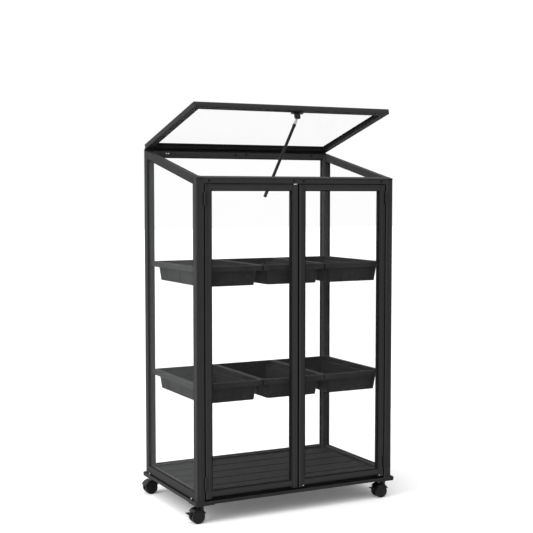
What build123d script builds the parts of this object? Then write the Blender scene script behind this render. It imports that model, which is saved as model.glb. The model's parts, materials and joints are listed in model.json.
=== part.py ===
from build123d import *
import os
from math import atan2, cos, degrees, radians, sin, tan

os.makedirs("parts", exist_ok=True)

# A balcony greenhouse in millimetres: X to the right, Y to the back, Z up, floor at Z 0
# Cabinet
frame_width = 800.0
frame_depth = 490.0
front_height = 1136.0
rear_height = 1245.0

# Aluminium extrusions
wall = 1.8
post_width = 28.0
post_depth = 31.0
reed_width = 1.4
reed_depth = 0.6
reed_inset = 7.5
cap_thickness = 2.0
cap_overhang = 1.5
header_height = 21.0
header_depth = 26.0
header_stop_drop = 9.0
rear_rail_height = 26.5
roof_rail_height = 27.0
rail_width = 22.0
bottom_rail_height = 26.5
bottom_rail_lift = 9.5

# Glazing
pane_thickness = 4.0
pane_gap = 0.3
pane_bite = 8.0
groove_lip = 2.0
groove_depth = 9.0

# Base frame and floor
castor_height = 65.0
plate_thickness = 3.0
base_thickness = 3.0
base_proud = 10.0
base_leg = 46.0
base_lip = 8.0
base_corner_radius = 5.0
corner_plate_size = 75.0
corner_plate_radius = 8.0
bearer_height = 14.0
bearer_width = 25.0
bearer_pitch = 300.0
bearer_count = 3
bearer_edge = 12.0
board_thickness = 15.5
board_gap = 3.0
board_count = 5
floor_clearance = 2.0

# Front doors
door_depth = 22.0
stile_width = 24.0
door_rail_height = 21.0
door_hinge_gap = 4.5
door_meeting_gap = 6.0
door_top_gap = 2.5
stile_foot = 12.5
door_rail_foot = 20.0
catch_width = 26.0
catch_height = 12.0
catch_spacing = 40.0
catch_gap = 0.3
catch_side_gap = 1.0

# Door hinges
door_hinge_length = 44.0
door_hinge_foot = 35.0
door_hinge_head = 27.0
door_hinge_proud = 3.2
door_leaf_depth = 19.0
door_leaf_thickness = 1.5
door_barrel_radius = 3.5
door_pin_radius = 1.75
knuckle_gap = 0.3
pin_clearance = 0.08
pin_head = 1.2

# Roof lid, drawn standing open on its stay
lid_open_angle = 15.5
lid_front_inset = 14.25
lid_thickness = 18.0
lid_rail_width = 26.0
lid_side_inset = 3.0
lid_clearance = 0.7
lid_rear_gap = 7.0
lid_hinge_margin = 1.0
lid_knuckles = 9
lid_leaf_height = 24.0
lid_leaf_thickness = 2.2
lid_barrel_radius = 4.5
lid_pin_radius = 2.0

# Lid stay
stay_x = 13.0
stay_setback = 20.0
stay_drop = 20.0
stay_lean = 24.9
stay_length = 315.0
stay_rod_radius = 3.0
stay_rod_length = 110.0
stay_tube_radius = 5.5
stay_tube_start = 28.0
stay_eye_radius = 5.0
stay_eye_length = 13.0
stay_pin_radius = 2.5
bracket_length = 46.0
bracket_width = 13.0
bracket_thickness = 2.0
ear_thickness = 2.5
ear_radius = 5.0
ear_gap = 1.0
keeper_thickness = 2.5
keeper_reach = 16.0
keeper_height = 12.0
keeper_foot = 18.0
keeper_drop = 8.0
keeper_gap = 1.0

# Shelves and trays
upper_shelf_height = 896.0
lower_shelf_height = 483.5
shelf_inset = 16.0
shelf_bar_thickness = 3.0
shelf_ledge = 7.0
shelf_bar_width = 3.0
shelf_bar_drop = 18.0
shelf_joint_gap = 0.2
tray_count = 3
tray_gap = 2.0
tray_clearance = 0.5
tray_end_clearance = 3.0
tray_wall = 2.4
tray_skirt = 20.0
tray_height = 71.0
tray_rim_width = 8.0
tray_end_rim = 7.0
tray_shoulder = 10.0
tray_taper = 6.0
tray_corner_radius = 14.0
tray_seat_gap = 0.2
tray_rib_width = 4.0
tray_rib_height = 1.6
tray_front_ribs = 6
tray_side_ribs = 3
tray_floor_ribs = 4

# Twin-wheel castors, trailing to the left
castor_inset = 22.0
castor_trail = 15.0
stem_radius = 5.0
stem_length = 15.0
stem_clearance = 0.1
swivel_gap = 0.3
swivel_flange_radius = 13.0
swivel_flange_thickness = 2.5
neck_radius = 9.5
neck_length = 15.0
neck_collar_radius = 11.5
neck_collar_drop = 7.0
neck_collar_height = 4.0
wheel_radius = 24.0
wheel_width = 13.6
wheel_spacing = 12.4
wheel_edge = 1.4
wheel_rim_width = 4.5
wheel_dish = 1.6
wheel_hub_radius = 7.0
axle_radius = 3.0
axle_length = 34.0
web_clearance = 0.7
fender_gap = 2.0
fender_thickness = 2.5
fender_side = 0.4
pedal_angle = 155.0
pedal_barrel_radius = 2.6
pedal_pin_radius = 1.5
pedal_width = 28.0
pedal_length = 14.0
pedal_thickness = 2.2
pedal_ear = 0.7

# Worked out from the sizes above
half_width = frame_width / 2
half_depth = frame_depth / 2
base_z = castor_height + plate_thickness + base_thickness
roof_rise = (rear_height - front_height) / frame_depth
roof_angle = degrees(atan2(rear_height - front_height, frame_depth))
groove_width = pane_thickness + 2 * pane_gap
groove_back = groove_lip + groove_width + wall
floor_z = base_z + bearer_height + board_thickness
bottom_rail_z = base_z + bottom_rail_lift
bottom_rail_top = bottom_rail_z + bottom_rail_height
header_z = base_z + front_height - header_height
rear_rail_z = base_z + rear_height - rear_rail_height
post_front = half_depth - post_depth
post_inner = half_width - post_width


def roof_z(y):
    """Height of the sloping roof line at a depth"""
    return base_z + front_height + (y + half_depth) * roof_rise


def rect_between(x0, x1, y0, y1, mode=Mode.ADD):
    """Rectangle between two opposite corners, in the sketch's own plane"""
    with Locations(((x0 + x1) / 2, (y0 + y1) / 2)):
        Rectangle(abs(x1 - x0), abs(y1 - y0), mode=mode)


def outline(*points, mode=Mode.ADD):
    """Closed straight-sided face through the points"""
    with BuildLine() as edge:
        Polyline(*points, close=True)
    make_face(edge.edges(), mode=mode)


def side_plane(x, y, z):
    """Plane facing +X through a point: its X runs to the back and its Y up"""
    return Plane(origin=(x, y, z), x_dir=(0, 1, 0), z_dir=(1, 0, 0))


def save(part, name):
    """Label a finished piece and write it to its file"""
    part.label = name
    export_step(part, f"parts/{name}.step")


roof_plane = Plane(
    origin=(0, -half_depth, base_z + front_height),
    x_dir=(1, 0, 0),
    z_dir=(0, -sin(radians(roof_angle)), cos(radians(roof_angle))),
)

# Corner posts: chambered extrusions with glazing grooves and reeded faces
post_names = {(-1, -1): "front_left", (1, -1): "front_right", (-1, 1): "rear_left", (1, 1): "rear_right"}


def corner_post(side, end):
    """Post at one corner: side is -1 on the left, end is -1 at the front"""
    rear = end > 0

    def across(distance):
        return side * (half_width - distance)

    def along(distance):
        return end * (half_depth - distance)

    def cut(x0, x1, y0, y1):
        rect_between(across(x0), across(x1), along(y0), along(y1), Mode.SUBTRACT)

    groove_end = groove_lip + groove_width
    with BuildPart() as post:
        with BuildSketch(Plane.XY.offset(base_z)):
            rect_between(across(0), across(post_width), along(0), along(post_depth))
            cut(groove_lip, groove_end, post_depth - groove_depth, post_depth)
            cut(groove_back, post_width - wall, groove_back if rear else wall, post_depth - wall)
            cut(wall, groove_end, wall, post_depth - groove_depth - wall)
            if rear:
                cut(post_width - groove_depth, post_width, groove_lip, groove_end)
                cut(groove_back, post_width - groove_depth - wall, wall, groove_end)
            for inset in (reed_inset, post_width - reed_inset):
                cut(inset - reed_width / 2, inset + reed_width / 2, 0, reed_depth)
            for inset in (reed_inset, post_depth - reed_inset):
                cut(0, reed_depth, inset - reed_width / 2, inset + reed_width / 2)
        extrude(amount=rear_height)
        split(bisect_by=roof_plane.offset(-cap_thickness), keep=Keep.BOTTOM)
    return post


for (side, end), corner in post_names.items():
    save(corner_post(side, end).part, f"{corner}_post")

# Sloping plastic caps on the four posts, flush at the back where the lid's hinge lies
with BuildPart() as post_caps:
    for side, end in post_names:
        outer_y = half_depth if end > 0 else -half_depth - cap_overhang
        inner_y = end * post_front
        with BuildSketch(Plane.YZ.offset(side * (half_width + cap_overhang))):
            outline(
                (outer_y, roof_z(outer_y)),
                (inner_y, roof_z(inner_y)),
                (inner_y, roof_z(inner_y) - cap_thickness / cos(radians(roof_angle))),
                (outer_y, roof_z(outer_y) - cap_thickness / cos(radians(roof_angle))),
            )
        extrude(amount=-side * (post_width + cap_overhang))
save(post_caps.part, "post_caps")

# Front header under the lid's front edge: a hollow rail with a sloping top and a stop behind the doors
header_back = header_depth - half_depth
stop_front = -half_depth + door_depth + catch_gap
stop_start = (catch_spacing + catch_width) / 2 + catch_side_gap
with BuildPart() as front_header:
    with BuildSketch(Plane.YZ.offset(-post_inner)):
        outline(
            (-half_depth, header_z),
            (-half_depth, roof_z(-half_depth)),
            (header_back, roof_z(header_back)),
            (header_back, header_z),
        )
        outline(
            (-half_depth + wall, header_z + wall),
            (-half_depth + wall, roof_z(-half_depth) - wall),
            (header_back - wall, roof_z(header_back - wall) - wall),
            (header_back - wall, header_z + wall),
            mode=Mode.SUBTRACT,
        )
    extrude(amount=2 * post_inner)
    with BuildSketch(Plane.XY.offset(header_z)):
        for side in (-1, 1):
            rect_between(side * stop_start, side * post_inner, stop_front, header_back)
    extrude(amount=-header_stop_drop)
save(front_header.part, "front_header")

# Rear top rail, sloping on top, with the rear pane's groove underneath
rear_rail_front = half_depth - rail_width
with BuildPart() as rear_top_rail:
    with BuildSketch(Plane.YZ.offset(-post_inner)):
        outline(
            (half_depth, rear_rail_z),
            (half_depth, roof_z(half_depth)),
            (rear_rail_front, roof_z(rear_rail_front)),
            (rear_rail_front, rear_rail_z),
        )
        rect_between(
            half_depth - groove_lip - groove_width,
            half_depth - groove_lip,
            rear_rail_z,
            rear_rail_z + groove_depth,
            Mode.SUBTRACT,
        )
        outline(
            (half_depth - groove_back, rear_rail_z + wall),
            (half_depth - groove_back, roof_z(rear_rail_front) - wall),
            (rear_rail_front + wall, roof_z(rear_rail_front) - wall),
            (rear_rail_front + wall, rear_rail_z + wall),
            mode=Mode.SUBTRACT,
        )
    extrude(amount=2 * post_inner)
save(rear_top_rail.part, "rear_top_rail")


def roof_band(drop_top, drop_bottom, reach, mode=Mode.ADD):
    """Strip parallel to the roof line, between two drops below it, on a depth plane"""
    outline(
        (-reach, roof_z(-reach) - drop_top),
        (reach, roof_z(reach) - drop_top),
        (reach, roof_z(reach) - drop_bottom),
        (-reach, roof_z(-reach) - drop_bottom),
        mode=mode,
    )


# Sloping roof rails over the side panes
with BuildPart() as roof_side_rails:
    for side in (-1, 1):
        with BuildSketch(Plane.YZ.offset(side * half_width)):
            roof_band(0, roof_rail_height, post_front)
        extrude(amount=-side * rail_width)
        with BuildSketch(Plane.YZ.offset(side * (half_width - groove_lip))):
            roof_band(roof_rail_height - groove_depth, roof_rail_height + wall, post_front)
        extrude(amount=-side * groove_width, mode=Mode.SUBTRACT)
        with BuildSketch(Plane.YZ.offset(side * (half_width - groove_back))):
            roof_band(wall, roof_rail_height - wall, post_front)
        extrude(amount=-side * (rail_width - groove_back - wall), mode=Mode.SUBTRACT)
save(roof_side_rails.part, "roof_side_rails")


def bottom_rail_section(direction, outer):
    """Bottom rail section: a pane groove on top near the outer face, and a chamber"""

    def across(distance):
        return direction * (outer - distance)

    groove_end = groove_lip + groove_width
    rect_between(across(0), across(rail_width), bottom_rail_z, bottom_rail_top)
    rect_between(
        across(groove_lip), across(groove_end), bottom_rail_top - groove_depth, bottom_rail_top, Mode.SUBTRACT
    )
    rect_between(
        across(groove_back), across(rail_width - wall), bottom_rail_z + wall, bottom_rail_top - wall, Mode.SUBTRACT
    )


# Bottom rails of the two sides and of the back
with BuildPart() as bottom_side_rails:
    for side in (-1, 1):
        with BuildSketch(Plane.XZ.offset(-post_front)):
            bottom_rail_section(side, half_width)
        extrude(amount=2 * post_front)
save(bottom_side_rails.part, "bottom_side_rails")

with BuildPart() as rear_bottom_rail:
    with BuildSketch(Plane.YZ.offset(-post_inner)):
        bottom_rail_section(1, half_depth)
    extrude(amount=2 * post_inner)
save(rear_bottom_rail.part, "rear_bottom_rail")

# Fixed panes, let into the grooves
pane_seat = groove_lip + pane_gap
for side, name in ((-1, "left_pane"), (1, "right_pane")):
    reach = post_front + pane_bite
    pane_top = roof_rail_height - pane_bite
    with BuildPart() as side_pane:
        with BuildSketch(Plane.YZ.offset(side * (half_width - pane_seat))):
            outline(
                (-reach, bottom_rail_top - pane_bite),
                (reach, bottom_rail_top - pane_bite),
                (reach, roof_z(reach) - pane_top),
                (-reach, roof_z(-reach) - pane_top),
            )
        extrude(amount=-side * pane_thickness)
    save(side_pane.part, name)

with BuildPart() as rear_pane:
    with BuildSketch(Plane.XZ.offset(pane_seat - half_depth)):
        rect_between(
            -post_inner - pane_bite, post_inner + pane_bite, bottom_rail_top - pane_bite, rear_rail_z + pane_bite
        )
    extrude(amount=pane_thickness)
save(rear_pane.part, "rear_pane")

# Base: a welded frame of lipped angle, and four corner plates with castor stems under it
base_x = half_width + base_proud
base_y = half_depth + base_proud
castor_x = half_width - castor_inset
castor_y = half_depth - castor_inset
with BuildPart() as corner_plates:
    for side, end in post_names:
        with BuildSketch(Plane.XY.offset(castor_height)):
            with Locations((side * (base_x - corner_plate_size / 2), end * (base_y - corner_plate_size / 2))):
                RectangleRounded(corner_plate_size, corner_plate_size, corner_plate_radius)
        extrude(amount=plate_thickness)
        with BuildSketch(Plane.XY.offset(castor_height)):
            with Locations((side * castor_x, end * castor_y)):
                Circle(stem_radius)
        extrude(amount=-stem_length)
save(corner_plates.part, "castor_plates")

with BuildPart() as base_angles:
    with BuildSketch(Plane.XY.offset(base_z)):
        RectangleRounded(2 * base_x, 2 * base_y, base_corner_radius)
        Rectangle(2 * (base_x - base_leg), 2 * (base_y - base_leg), mode=Mode.SUBTRACT)
    extrude(amount=-base_thickness)
    with BuildSketch(Plane.XY.offset(base_z)):
        RectangleRounded(2 * base_x, 2 * base_y, base_corner_radius)
        offset(amount=-base_thickness, mode=Mode.SUBTRACT)
    extrude(amount=base_lip)
save(base_angles.part, "base_angles")

# Slatted floor on a ladder of bearers that rests on the base angles
floor_front = -half_depth + door_depth + floor_clearance
floor_back = half_depth - rail_width - floor_clearance
floor_reach = post_inner - floor_clearance
board_width = (floor_back - floor_front - (board_count - 1) * board_gap) / board_count
floor_middle = (floor_front + floor_back) / 2
with BuildPart() as floor_bearers:
    with BuildSketch(Plane.XY.offset(base_z)):
        with Locations((0, floor_middle)):
            with GridLocations(bearer_pitch, 0, bearer_count, 1):
                Rectangle(bearer_width, floor_back - floor_front)
            with GridLocations(0, floor_back - floor_front - bearer_edge, 1, 2):
                Rectangle(2 * floor_reach, bearer_edge)
    extrude(amount=bearer_height)
save(floor_bearers.part, "floor_bearers")

with BuildPart() as floor_boards:
    with BuildSketch(Plane.XY.offset(base_z + bearer_height)):
        with Locations((0, floor_middle)):
            with GridLocations(0, board_width + board_gap, 1, board_count):
                Rectangle(2 * floor_reach, board_width)
    extrude(amount=board_thickness)
    chamfer(floor_boards.edges().filter_by(Axis.X).group_by(Axis.Z)[-1], board_gap / 2)
save(floor_boards.part, "floor_boards")


def hinge_leaf(start, plate, length, barrel, bore, fixed, knuckles=3):
    """Leaf of a hinge whose axis is the plane's normal: the fixed leaf has the end knuckles"""
    knuckle = length / knuckles
    with BuildPart() as leaf:
        with BuildSketch(start):
            outline(*plate)
        extrude(amount=length)
        for number in range(knuckles):
            low = number * knuckle
            if (number % 2 == 0) != fixed:
                with BuildSketch(start.offset(low - knuckle_gap / 2)):
                    Circle(barrel + knuckle_gap)
                extrude(amount=knuckle + knuckle_gap, mode=Mode.SUBTRACT)
        for number in range(knuckles):
            low = number * knuckle + (knuckle_gap / 2 if number else 0)
            high = (number + 1) * knuckle - (knuckle_gap / 2 if number < knuckles - 1 else 0)
            if (number % 2 == 0) == fixed:
                with BuildSketch(start.offset(low)):
                    Circle(barrel)
                extrude(amount=high - low)
        with BuildSketch(start):
            Circle(bore)
        extrude(amount=length, mode=Mode.SUBTRACT)
    return leaf


def hinge_pin(start, length, radius, head_radius):
    """Pin with a low head at each end"""
    with BuildPart() as pin:
        with BuildSketch(start):
            Circle(radius)
        extrude(amount=length)
        for head_start in (-pin_head, length):
            with BuildSketch(start.offset(head_start)):
                Circle(head_radius)
            extrude(amount=pin_head)
    return pin


def gather(pieces):
    """One node of several separate solids"""
    with BuildPart() as group:
        for piece in pieces:
            add(piece.part)
    return group


# Front doors: stiles run full height, rails butt between them, pane in grooves
door_hinge_x = post_inner - door_hinge_gap / 2
door_hinge_y = -half_depth - door_hinge_proud
door_outer = post_inner - door_hinge_gap
door_inner = door_meeting_gap / 2
door_foot_z = base_z + stile_foot
door_top_z = header_z - door_top_gap
door_rail_z = base_z + door_rail_foot
door_bore = door_pin_radius + pin_clearance
hinge_starts = (door_foot_z + door_hinge_foot, door_top_z - door_hinge_head - door_hinge_length)


def stile_section(side, outer, inward):
    """Door stile section: pane groove near the front on its inner edge, two chambers"""

    def across(distance):
        return side * (outer + inward * distance)

    def cut(x0, x1, y0, y1):
        rect_between(across(x0), across(x1), -half_depth + y0, -half_depth + y1, Mode.SUBTRACT)

    groove_end = groove_lip + groove_width
    rect_between(across(0), across(stile_width), -half_depth, -half_depth + door_depth)
    cut(stile_width - groove_depth, stile_width, groove_lip, groove_end)
    cut(wall, stile_width - groove_depth - wall, wall, door_depth - wall)
    cut(stile_width - groove_depth, stile_width - wall, groove_back, door_depth - wall)


def door_rail_section(low, pane_above):
    """Door rail section: pane groove near the front on the edge that meets the pane"""
    high = low + door_rail_height
    groove_low = high - groove_depth if pane_above else low
    chamber_low = low + wall if pane_above else low + groove_depth + wall
    chamber_high = high - groove_depth - wall if pane_above else high - wall
    front = -half_depth
    rect_between(front, front + door_depth, low, high)
    rect_between(
        front + groove_lip, front + groove_lip + groove_width, groove_low, groove_low + groove_depth, Mode.SUBTRACT
    )
    rect_between(front + wall, front + door_depth - wall, chamber_low, chamber_high, Mode.SUBTRACT)


post_leaves = []
pins = []
for side, name in ((-1, "left_door"), (1, "right_door")):
    rail_start = door_inner + stile_width
    rail_end = door_outer - stile_width
    pane_low = door_rail_z + door_rail_height - pane_bite
    pane_high = door_top_z - door_rail_height + pane_bite
    with BuildPart() as door_stiles:
        with BuildSketch(Plane.XY.offset(door_foot_z)):
            stile_section(side, door_outer, -1)
            stile_section(side, door_inner, 1)
        extrude(amount=door_top_z - door_foot_z)
    save(door_stiles.part, f"{name}_stiles")
    with BuildPart() as door_rails:
        with BuildSketch(Plane.YZ.offset(side * rail_start)):
            door_rail_section(door_rail_z, True)
            door_rail_section(door_top_z - door_rail_height, False)
        extrude(amount=side * (rail_end - rail_start))
    save(door_rails.part, f"{name}_rails")
    with BuildPart() as door_pane:
        with BuildSketch(Plane.XZ.offset(half_depth - pane_seat)):
            rect_between(side * (rail_start - pane_bite), side * (rail_end + pane_bite), pane_low, pane_high)
        extrude(amount=-pane_thickness)
    save(door_pane.part, f"{name}_pane")
    door_leaves = []
    for hinge_z in hinge_starts:
        start = Plane(origin=(side * door_hinge_x, door_hinge_y, hinge_z))
        half_gap = side * door_hinge_gap / 2
        inner_face = half_gap - side * door_leaf_thickness
        back = door_leaf_depth
        post_plate = ((half_gap, 0), (inner_face, 0), (inner_face, back), (half_gap, back))
        door_plate = ((-half_gap, 0), (-inner_face, 0), (-inner_face, back), (-half_gap, back))
        post_leaves.append(
            hinge_leaf(start, post_plate, door_hinge_length, door_barrel_radius, door_bore, True)
        )
        door_leaves.append(
            hinge_leaf(start, door_plate, door_hinge_length, door_barrel_radius, door_bore, False)
        )
        pins.append(hinge_pin(start, door_hinge_length, door_pin_radius, door_barrel_radius))
    save(gather(door_leaves).part, f"{name}_hinge_leaves")
save(gather(post_leaves).part, "door_hinge_post_leaves")

# Magnetic catches under the header that the doors' meeting stiles close against
with BuildPart() as door_catches:
    with BuildSketch(Plane.XY.offset(header_z)):
        with Locations((0, (stop_front + header_back) / 2)):
            with GridLocations(catch_spacing, 0, 2, 1):
                Rectangle(catch_width, header_back - stop_front)
    extrude(amount=-catch_height)
save(door_catches.part, "door_catches")

# Roof lid: mitred rails round a pane, drawn in the lid's own plane at its open angle
lid_tilt = radians(lid_open_angle)
lid_hinge_y = half_depth + lid_barrel_radius
lid_hinge_z = roof_z(lid_hinge_y) + lid_clearance
lid_half = half_width - lid_side_inset
lid_length = (lid_hinge_y + half_depth - lid_front_inset) / cos(radians(roof_angle))
lid_plane = Plane(
    origin=(0, lid_hinge_y, lid_hinge_z), x_dir=(1, 0, 0), z_dir=(0, sin(lid_tilt), cos(lid_tilt))
)
lid_groove_z = lid_thickness - groove_lip - groove_width


def lid_section(x):
    """Section plane of the lid at one place across it: X to the back along the lid, Y square to it"""
    return Plane(
        origin=(x, lid_hinge_y, lid_hinge_z), x_dir=(0, cos(lid_tilt), -sin(lid_tilt)), z_dir=(1, 0, 0)
    )


def lid_strip(edge, near, far):
    """Mitred strip of the lid along one edge, between two distances in from it"""
    x0, x1 = -lid_half, lid_half
    y0, y1 = -lid_length, -lid_rear_gap
    near_box = ((x0 + near, y0 + near), (x1 - near, y0 + near), (x1 - near, y1 - near), (x0 + near, y1 - near))
    far_box = ((x0 + far, y0 + far), (x1 - far, y0 + far), (x1 - far, y1 - far), (x0 + far, y1 - far))
    first = ("front", "right", "rear", "left").index(edge)
    second = (first + 1) % 4
    outline(near_box[first], near_box[second], far_box[second], far_box[first])


def lid_rail(edge):
    """One mitred lid rail with its pane groove and chamber"""
    with BuildPart() as rail:
        with BuildSketch(lid_plane):
            lid_strip(edge, 0, lid_rail_width)
        extrude(amount=lid_thickness)
        with BuildSketch(lid_plane.offset(lid_groove_z)):
            lid_strip(edge, lid_rail_width - groove_depth, lid_rail_width + wall)
        extrude(amount=groove_width, mode=Mode.SUBTRACT)
        with BuildSketch(lid_plane.offset(wall)):
            lid_strip(edge, wall, lid_rail_width - groove_depth - wall)
        extrude(amount=lid_thickness - 2 * wall, mode=Mode.SUBTRACT)
    return rail


save(lid_rail("front").part, "lid_front_rail")
save(lid_rail("rear").part, "lid_rear_rail")
save(gather([lid_rail("left"), lid_rail("right")]).part, "lid_side_rails")

pane_edge = lid_rail_width - pane_bite
with BuildPart() as lid_pane:
    with BuildSketch(lid_plane.offset(lid_groove_z + pane_gap)):
        rect_between(
            -lid_half + pane_edge, lid_half - pane_edge, -lid_length + pane_edge, -lid_rear_gap - pane_edge
        )
    extrude(amount=pane_thickness)
save(lid_pane.part, "lid_pane")

# Continuous lid hinge along the rear face of the rear top rail
lid_bore = lid_pin_radius + pin_clearance
lid_web_low = lid_barrel_radius - lid_leaf_thickness
lid_hinge_length = 2 * (lid_half - lid_hinge_margin)
frame_start = side_plane(-lid_hinge_length / 2, lid_hinge_y, lid_hinge_z)
lid_start = lid_section(-lid_hinge_length / 2)
rail_face = -lid_barrel_radius
frame_plate = (
    (rail_face, 0),
    (rail_face + lid_leaf_thickness, 0),
    (rail_face + lid_leaf_thickness, -lid_leaf_height),
    (rail_face, -lid_leaf_height),
)
lid_plate = (
    (0, lid_web_low),
    (0, lid_barrel_radius),
    (lid_leaf_thickness - lid_rear_gap, lid_barrel_radius),
    (lid_leaf_thickness - lid_rear_gap, lid_thickness - groove_lip),
    (-lid_rear_gap, lid_thickness - groove_lip),
    (-lid_rear_gap, lid_web_low),
)
frame_leaf = hinge_leaf(frame_start, frame_plate, lid_hinge_length, lid_barrel_radius, lid_bore, True, lid_knuckles)
save(frame_leaf.part, "lid_hinge_frame_leaves")
lid_leaf = hinge_leaf(lid_start, lid_plate, lid_hinge_length, lid_barrel_radius, lid_bore, False, lid_knuckles)
save(lid_leaf.part, "lid_hinge_lid_leaves")
pins.append(hinge_pin(frame_start, lid_hinge_length, lid_pin_radius, lid_barrel_radius))
save(gather(pins).part, "hinge_pins")

# Lid stay: a clevis bracket under the lid's front rail and a leaning prop that swings on it
stay_back = -lid_length + stay_setback
stay_y = lid_hinge_y + stay_back * cos(lid_tilt) - stay_drop * sin(lid_tilt)
stay_z = lid_hinge_z - stay_back * sin(lid_tilt) - stay_drop * cos(lid_tilt)
ear_inner = stay_eye_length / 2 + ear_gap
stay_bore = stay_pin_radius + pin_clearance
bracket_middle = -lid_length + lid_rail_width - bracket_width / 2
with BuildPart() as stay_bracket:
    with BuildSketch(lid_plane):
        with Locations((stay_x, bracket_middle)):
            Rectangle(bracket_length, bracket_width)
    extrude(amount=-bracket_thickness)
    for side in (-1, 1):
        with BuildSketch(lid_section(stay_x + side * ear_inner)):
            with Locations((stay_back, -stay_drop)):
                Circle(ear_radius)
            rect_between(stay_back - ear_radius, stay_back + ear_radius, -stay_drop, 0)
            with Locations((stay_back, -stay_drop)):
                Circle(stay_bore, mode=Mode.SUBTRACT)
        extrude(amount=side * ear_thickness)
    pin_reach = ear_inner + ear_thickness
    with BuildSketch(lid_section(stay_x - pin_reach)):
        with Locations((stay_back, -stay_drop)):
            Circle(stay_pin_radius)
    extrude(amount=2 * pin_reach)
save(stay_bracket.part, "stay_bracket")

lean = radians(stay_lean)
stay_axis = Plane(
    origin=(stay_x, stay_y, stay_z), x_dir=(cos(lean), 0, -sin(lean)), z_dir=(-sin(lean), 0, -cos(lean))
)
stay_eye_plane = side_plane(stay_x - stay_eye_length / 2, stay_y, stay_z)
with BuildPart() as stay_rod:
    with BuildSketch(stay_axis):
        Circle(stay_rod_radius)
    extrude(amount=stay_rod_length)
    with BuildSketch(stay_eye_plane):
        Circle(stay_eye_radius)
    extrude(amount=stay_eye_length)
    with BuildSketch(stay_eye_plane):
        Circle(stay_bore)
    extrude(amount=stay_eye_length, mode=Mode.SUBTRACT)
save(stay_rod.part, "stay_rod")

with BuildPart() as stay_tube:
    with BuildSketch(stay_axis.offset(stay_tube_start)):
        Circle(stay_tube_radius)
    extrude(amount=stay_length - stay_tube_start)
    fillet(stay_tube.edges().sort_by(Axis.Z)[0], stay_tube_radius * 0.8)
    with BuildSketch(stay_axis.offset(stay_tube_start)):
        Circle(stay_rod_radius + pin_clearance)
    extrude(amount=stay_rod_length - stay_tube_start, mode=Mode.SUBTRACT)
save(stay_tube.part, "stay_tube")

# Keeper on the back of the header that the prop leans beside
keeper_top = roof_z(header_back) - keeper_drop
tube_left = stay_x - (stay_z - keeper_top + keeper_height) * tan(lean) - stay_tube_radius / cos(lean)
keeper_x = tube_left - keeper_gap
with BuildPart() as stay_keeper:
    with BuildSketch(Plane.XY.offset(keeper_top)):
        rect_between(keeper_x - keeper_foot, keeper_x, header_back, header_back + keeper_thickness)
        rect_between(keeper_x - keeper_thickness, keeper_x, header_back, header_back + keeper_reach)
    extrude(amount=-keeper_height)
save(stay_keeper.part, "stay_keeper")

# Shelf frames: side bars between the posts, cross bars under the tray rims
shelf_face = half_width - shelf_inset
shelf_inner = shelf_face - shelf_bar_thickness
tray_reach = post_front - tray_end_clearance
tray_inner_reach = tray_reach - tray_wall - tray_clearance
seat_drop = tray_wall + tray_seat_gap
bar_reach = shelf_inner - shelf_joint_gap
for name, height in (("upper", upper_shelf_height), ("lower", lower_shelf_height)):
    seat = height - seat_drop
    ledge_reach = tray_inner_reach - shelf_bar_width - shelf_joint_gap
    with BuildPart() as shelf_frame:
        for side in (-1, 1):
            with BuildSketch(Plane.XZ.offset(-post_front)):
                rect_between(side * shelf_inner, side * shelf_face, height - tray_skirt, height)
            extrude(amount=2 * post_front)
            with BuildSketch(Plane.XZ.offset(-ledge_reach)):
                rect_between(
                    side * shelf_inner, side * (shelf_inner - shelf_ledge), seat - shelf_bar_thickness, seat
                )
            extrude(amount=2 * ledge_reach)
            with BuildSketch(Plane.YZ.offset(-bar_reach)):
                rect_between(
                    side * tray_inner_reach, side * (tray_inner_reach - shelf_bar_width), height - shelf_bar_drop, seat
                )
            extrude(amount=2 * bar_reach)
    save(shelf_frame.part, f"{name}_shelf_frame")

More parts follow.
